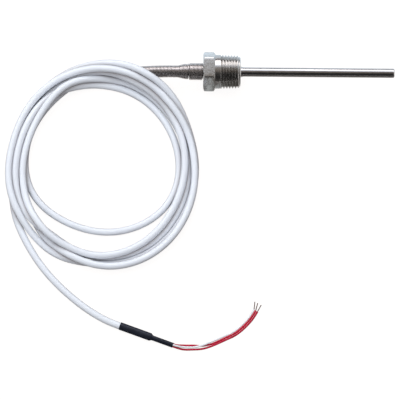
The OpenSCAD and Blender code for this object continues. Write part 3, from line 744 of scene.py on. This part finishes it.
# Each finish has two tones that drift into each other, the scale of that drift and a roughness range.
# Bump is the strength of a grain so many times finer, depth is its depth in metres, and lines makes
# it tool marks instead, so many to a metre. What is the same all over goes on the shader
metal = {"Metallic": 1.0}
usualFinish = {"depth": 0.00002, "grain": 14.0, "shader": {}}
finishes = {
    "turnedSteel": {"tones": [(0.5, 0.485, 0.47), (0.42, 0.405, 0.39)], "scale": 180, "rough": (0.16, 0.3),
                    "bump": 0.25, "depth": 0.00001, "lines": 9000, "shader": metal},
    "drawnSteel": {"tones": [(0.47, 0.462, 0.466), (0.43, 0.417, 0.413)], "scale": 240, "rough": (0.12, 0.22),
                   "bump": 0.08, "depth": 0.00001, "lines": 6000, "shader": metal},
    "barSteel": {"tones": [(0.58, 0.575, 0.56), (0.38, 0.37, 0.355)], "scale": 300, "rough": (0.16, 0.36),
                 "bump": 0.6, "depth": 0.00018, "grain": 1.6, "shader": metal},
    "springSteel": {"tones": [(0.48, 0.445, 0.435), (0.4, 0.37, 0.36)], "scale": 420, "rough": (0.2, 0.32),
                    "bump": 0.12, "shader": metal},
    "whiteJacket": {"tones": [(0.8, 0.838, 0.895), (0.765, 0.8, 0.865)], "scale": 60, "rough": (0.36, 0.46),
                    "bump": 0.12},
    "whiteInsulation": {"tones": [(0.88, 0.89, 0.92), (0.83, 0.85, 0.89)], "scale": 160,
                        "rough": (0.3, 0.42), "bump": 0.1},
    "redInsulation": {"tones": [(0.56, 0.006, 0.042), (0.44, 0.004, 0.03)], "scale": 160,
                      "rough": (0.3, 0.42), "bump": 0.1, "shader": {"Specular IOR Level": 0.25}},
    "blackShrink": {"tones": [(0.01, 0.0125, 0.022), (0.014, 0.018, 0.031)], "scale": 220,
                    "rough": (0.34, 0.5), "bump": 0.25, "shader": {"Specular IOR Level": 0.22}},
    "bareCopper": {"tones": [(0.15, 0.07, 0.055), (0.1, 0.05, 0.04)], "scale": 900, "rough": (0.3, 0.45),
                   "bump": 0.2, "shader": metal},
    "elementCeramic": {"tones": [(0.86, 0.83, 0.75), (0.78, 0.74, 0.66)], "scale": 300,
                       "rough": (0.5, 0.65), "bump": 0.2},
    "legMetal": {"tones": [(0.68, 0.68, 0.7), (0.55, 0.55, 0.57)], "scale": 500, "rough": (0.2, 0.3),
                 "bump": 0.1, "shader": metal},
    "solderMetal": {"tones": [(0.42, 0.43, 0.45), (0.3, 0.31, 0.33)], "scale": 500, "rough": (0.35, 0.5),
                    "bump": 0.3, "shader": metal},
    "fillingCeramic": {"tones": [(0.76, 0.73, 0.66), (0.66, 0.62, 0.55)], "scale": 400,
                       "rough": (0.7, 0.85), "bump": 0.6},
    "sealResin": {"tones": [(0.04, 0.04, 0.045), (0.06, 0.06, 0.062)], "scale": 300, "rough": (0.45, 0.6),
                  "bump": 0.3},
}
paintedShade = {"tone": (0.16, 0.1, 0.075), "most": 0.7}  # painted shade: brown on the jacket where its turns touch and under turns on top


def newFinish(name, constants):
    material = bpy.data.materials.new(name)
    material.use_nodes = True
    shader = material.node_tree.nodes["Principled BSDF"]
    for key, value in constants.items():
        shader.inputs[key].default_value = value
    return material, material.node_tree, shader


def makeFinish(name, plan):
    plan = {**usualFinish, **plan}
    material, tree, shader = newFinish(name, plan["shader"])
    (first, second), (low, high) = plan["tones"], plan["rough"]
    drift = addNode(tree, "ShaderNodeGroup", {"Scale": plan["scale"], "First": (*first, 1), "Low": low,
                                              "Second": (*second, 1), "High": high, "Grain": plan["grain"]},
                    node_tree=surfaceDrift)
    relief = drift
    if "lines" in plan:
        relief = addNode(tree, "ShaderNodeGroup", {"Lines": plan["lines"], "Low": low, "High": high},
                         node_tree=ringMarks)
    bump = addNode(tree, "ShaderNodeBump", {"Strength": plan["bump"], "Distance": plan["depth"]},
                   {"Height": relief.outputs["Height"]})
    tree.links.new(drift.outputs["Colour"], shader.inputs["Base Color"])
    tree.links.new(relief.outputs["Roughness"], shader.inputs["Roughness"])
    tree.links.new(bump.outputs["Normal"], shader.inputs["Normal"])
    return material


def paintShadeOnJacket(material, plan):
    # The jacket's colour goes over to the painted shade's brown by the share that each point carries
    tree, shader = material.node_tree, material.node_tree.nodes["Principled BSDF"]
    unshaded = shader.inputs["Base Color"].links[0].from_socket
    touching = addNode(tree, "ShaderNodeAttribute", attribute_name="turnShade").outputs["Fac"]
    share = addNode(tree, "ShaderNodeMath", {1: plan["most"]}, {0: touching}, operation="MULTIPLY")
    mix = addNode(tree, "ShaderNodeMix", {"B": (*plan["tone"], 1)}, {"Factor": share.outputs[0], "A": unshaded},
                  data_type="RGBA")
    tree.links.new(mix.outputs["Result"], shader.inputs["Base Color"])


materials = {name: makeFinish(name, plan) for name, plan in finishes.items()}
# Painted shade between the jacket's turns and under the turns that lie on top
paintShadeOnJacket(materials["whiteJacket"], paintedShade)
dressed = [(fittingSkin, "turnedSteel", "barSteel"), (springSkin, "springSteel"), (sheathSkin, "drawnSteel"),
           (tipSkin, "drawnSteel"), (leadJacket, "whiteJacket"), (sleevePiece, "blackShrink")]
for wireName, wire in wires.items():
    dressed.append((wire["piece"], "whiteInsulation" if wireName == "white" else "redInsulation"))
    dressed.append((wire["strands"], "bareCopper"))
for piece, *names in dressed:
    for name in names:
        piece.data.materials.append(materials[name])

# The solids inside keep their shapes; each takes its finish by how its name begins
insideFinishes = {"element_body": "elementCeramic", "element_leg": "legMetal", "joint": "solderMetal",
                  "tip_filling": "fillingCeramic", "core_white": "whiteInsulation",
                  "core_red": "redInsulation", "cable_seal": "sealResin"}
for nodeName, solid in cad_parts.items():
    for prefix, name in insideFinishes.items():
        if nodeName.startswith(prefix):
            solid.data.materials.clear()
            solid.data.materials.append(materials[name])
print("finishes made:", len(materials))

# Table, light and world
stage = {"tableSize": 8.0, "tableTone": (0.17, 0.145, 0.13), "tableLift": 0.9, "tableDrop": 0.00002,
         "roomLight": 1.5, "roomTop": (-0.22, 0.03, 0.975),
         "roomTones": [(0.5, (0.035, 0.025, 0.02)), (0.75, (0.2, 0.18, 0.17)), (0.9, (0.8, 0.82, 0.85)),
                       (1.0, (1.06, 1.1, 1.15))]}
lampPlan = {"place": (-0.6, 1.15, 1.1), "target": (-0.02, -0.06, 0), "size": (1.5, 1.15), "energy": 11.0}
# Painted reflections: cards that only reflections see, on drums round the X axis, from one lean
# off the top to another
drum = {"ends": (-2.0, 2.0), "steps": 40}
cards = {
    "windowCard": {"radius": 1.3, "from": 66.0, "to": 30.0,
                   "tones": [(0.0, (3.9, 3.8, 3.9)), (0.5, (3.9, 3.85, 3.95)), (0.8, (2.4, 2.45, 2.6)),
                             (1.0, (1.3, 1.4, 1.6))]},
    "viewerCard": {"radius": 1.2, "from": 30.0, "to": -89.0,
                   "tones": [(0.0, (1.0, 1.08, 1.25)), (0.05, (0.75, 0.8, 0.92)), (0.13, (0.3, 0.27, 0.24)),
                             (0.33, (0.22, 0.185, 0.155)), (0.43, (0.03, 0.028, 0.027)),
                             (0.71, (0.012, 0.012, 0.012)), (0.92, (0.07, 0.067, 0.065)),
                             (1.0, (0.16, 0.155, 0.15))]},
    "farCard": {"radius": 2.2, "from": 68.0, "to": 88.0,
                "tones": [(0.0, (0.5, 0.45, 0.5)), (0.3, (0.18, 0.155, 0.17)), (0.8, (0.16, 0.15, 0.165)),
                          (1.0, (0.5, 0.53, 0.57))]},
}
# Painted reflections: strips just over the table that only reflections see. Along X: dark beside the
# spring, pale beside the hex, dark beside the thread and the sheath
reflectionStrips = {
    "frontReflectionStrip": {"x": (-0.2, -0.013, -0.0095, 0.003, 0.007, 0.2), "y": (-0.5, -0.0125), "rise": 0.0006,
                 "tones": [(0.07, 0.066, 0.063)] * 2 + [(0.56, 0.59, 0.6)] * 2 + [(0.15, 0.14, 0.13)] * 2},
    "backReflectionStrip": {"x": (-0.2, 0.2), "y": (0.0125, 0.5), "rise": 0.0006, "tones": [(1.0, 1.14, 1.28)] * 2},
}


def seenRays(tree):
    # One where the camera, a reflection or a clear body looks, and nothing for the light on things
    path = addNode(tree, "ShaderNodeLightPath").outputs
    seen = path["Is Camera Ray"]
    for ray in ("Is Glossy Ray", "Is Transmission Ray"):
        either = addNode(tree, "ShaderNodeMath", feeds={0: seen, 1: path[ray]}, operation="MAXIMUM")
        seen = either.outputs[0]
    return seen


def toneRamp(tree, share, tones):
    ramp = addNode(tree, "ShaderNodeValToRGB", feeds={0: share})
    while len(ramp.color_ramp.elements) < len(tones):
        ramp.color_ramp.elements.new(0.5)
    for element, (at, tone) in zip(ramp.color_ramp.elements, tones):
        element.position, element.color = at, (*tone, 1)
    return ramp.outputs["Color"]


def makeTable():
    # A square just under what lies on it, lifted to white where it is looked at
    half, low = stage["tableSize"] / 2, lead["floor"] - stage["tableDrop"]
    mesh = bpy.data.meshes.new("tableTop")
    mesh.from_pydata([(-half, -half, low), (half, -half, low), (half, half, low), (-half, half, low)],
                     [], [(0, 1, 2, 3)])
    table = intoScene("tableTop", mesh)
    material, tree, shader = newFinish("paleTable", {
        "Base Color": (*stage["tableTone"], 1), "Roughness": 0.9, "Emission Color": (1, 1, 1, 1)})
    lift = addNode(tree, "ShaderNodeMath", {1: stage["tableLift"]}, {0: seenRays(tree)}, operation="MULTIPLY")
    tree.links.new(lift.outputs[0], shader.inputs["Emission Strength"])
    table.data.materials.append(material)


def makeWorld():
    # Light from overhead that fades to brown towards the sides, and plain white where it is looked at
    world = bpy.data.worlds.new("room")
    bpy.context.scene.world = world
    world.use_nodes = True
    tree = world.node_tree
    place = addNode(tree, "ShaderNodeTexCoord").outputs["Generated"]
    towards = addNode(tree, "ShaderNodeVectorMath", {1: stage["roomTop"]}, {0: place},
                      operation="DOT_PRODUCT")
    half = addNode(tree, "ShaderNodeMath", {1: 0.5, 2: 0.5}, {0: towards.outputs["Value"]},
                   operation="MULTIPLY_ADD")
    background = tree.nodes["Background"]
    background.inputs["Strength"].default_value = stage["roomLight"]
    tree.links.new(toneRamp(tree, half.outputs[0], stage["roomTones"]), background.inputs["Color"])
    white = addNode(tree, "ShaderNodeBackground", {"Color": (1, 1, 1, 1), "Strength": 1.0})
    mix = addNode(tree, "ShaderNodeMixShader",
                  feeds={0: seenRays(tree), 1: background.outputs[0], 2: white.outputs[0]})
    tree.links.new(mix.outputs[0], tree.nodes["World Output"].inputs["Surface"])


def makeCard(name, grid, tones):
    # A painted reflection: a glowing strip that only a reflection sees; its tone runs along the grid's rows
    i = np.arange(len(grid) - 1)
    faces = np.stack([2 * i, 2 * i + 1, 2 * i + 3, 2 * i + 2], 1)
    mesh = bpy.data.meshes.new(name)
    mesh.from_pydata(grid.reshape(-1, 3).tolist(), [], faces.tolist())
    layer = mesh.uv_layers.new(name="lean")
    share = i[:, None] / len(i) + np.array([0, 0, 1, 1]) / len(i)
    layer.data.foreach_set("uv", np.stack([share, 0 * share + 0.5], -1).astype(np.float32).ravel())
    card = intoScene(name, mesh)
    card.visible_camera = card.visible_diffuse = card.visible_shadow = False
    material, tree, shader = newFinish(name + "Tone", {
        "Base Color": (0, 0, 0, 1), "Roughness": 1.0, "Specular IOR Level": 0, "Emission Strength": 1.0})
    place = addNode(tree, "ShaderNodeUVMap", uv_map="lean").outputs["UV"]
    split = addNode(tree, "ShaderNodeSeparateXYZ", feeds={0: place})
    tree.links.new(toneRamp(tree, split.outputs["X"], tones), shader.inputs["Emission Color"])
    card.data.materials.append(material)


def drumGrid(plan):
    # Part of a drum round the X axis: y = R sin a, z = R cos a, with a leaning from the top towards +Y
    lean = np.radians(np.linspace(plan["from"], plan["to"], drum["steps"]))[:, None]
    x, radius = np.array([drum["ends"]]), plan["radius"]
    return np.stack(np.broadcast_arrays(x, radius * np.sin(lean), radius * np.cos(lean)), axis=-1)


def matGrid(plan):
    # A flat strip just over the table, in rows along X
    x, y = np.array(plan["x"])[:, None], np.array([plan["y"]])
    return np.stack(np.broadcast_arrays(x, y, lead["floor"] + plan["rise"]), axis=-1)


def addLamp(name, plan):
    data = bpy.data.lights.new(name, "AREA")
    data.shape, data.energy = "RECTANGLE", plan["energy"]
    data.size, data.size_y = plan["size"]
    lamp = intoScene(name, data)
    lamp.location = plan["place"]
    aim = Vector(plan["target"]) - Vector(plan["place"])
    lamp.rotation_euler = aim.to_track_quat("-Z", "Y").to_euler()


makeTable()
makeWorld()
for cardName, cardPlan in cards.items():
    makeCard(cardName, drumGrid(cardPlan), cardPlan["tones"])
for matName, matPlan in reflectionStrips.items():
    places = np.linspace(0, 1, len(matPlan["tones"]))
    makeCard(matName, matGrid(matPlan), list(zip(places, matPlan["tones"])))
addLamp("windowBeyond", lampPlan)
bpy.context.scene.view_settings.view_transform = "Standard"
print("table and light made")
